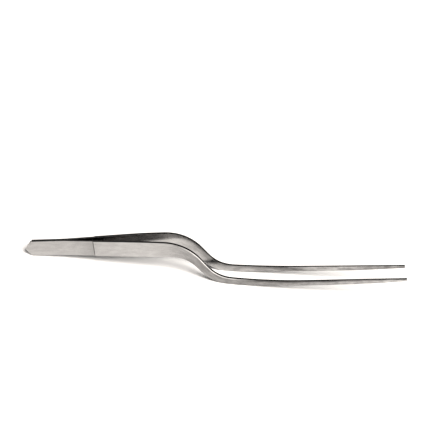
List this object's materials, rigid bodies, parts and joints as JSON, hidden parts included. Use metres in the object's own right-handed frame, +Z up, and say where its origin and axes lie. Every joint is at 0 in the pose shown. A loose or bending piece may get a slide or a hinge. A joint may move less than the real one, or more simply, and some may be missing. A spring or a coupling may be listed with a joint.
{
  "type": "aquascaping tweezers",
  "caption": "Long bayonet tweezers: flat spring-steel blades welded at the butt, with an offset bend and slim legs with serrated square tips.",
  "frame": {"origin": "middle of the bounding box on the surface that the tweezers stand on, midway between the two blades", "axes": "+X towards the tips, +Y towards the left blade and along the squeeze direction, +Z up"},
  "size_m": [0.2516, 0.0174, 0.0266],
  "materials": {
    "blade_steel": "satin, brushed along the blade",
    "heel_steel": "satin, brushed along the blade, ground thinner",
    "weld_steel": "ground and polished weld metal"
  },
  "bodies": {
    "butt": {"right_heel": "heel_steel", "left_heel": "heel_steel", "butt_weld": "weld_steel"},
    "right_blade": {"right_arm": "blade_steel"},
    "left_blade": {"left_arm": "blade_steel"}
  },
  "joints": [
    {"name": "right_blade_flex", "type": "hinge", "parent": "butt", "child": "right_blade", "pos_m": [-0.08027, -0.00239, 0.01304], "axis": [-0.1716, 0, 0.9852], "range_deg": [0, 1.78], "stiffness_Nm_per_rad": 13},
    {"name": "left_blade_flex", "type": "hinge", "parent": "butt", "child": "left_blade", "pos_m": [-0.08027, 0.00239, 0.01304], "axis": [0.1716, 0, -0.9852], "range_deg": [0, 1.78], "stiffness_Nm_per_rad": 13}
  ],
  "couplings": [
    {"joint": "left_blade_flex", "follows": "right_blade_flex", "ratio": 1}
  ]
}
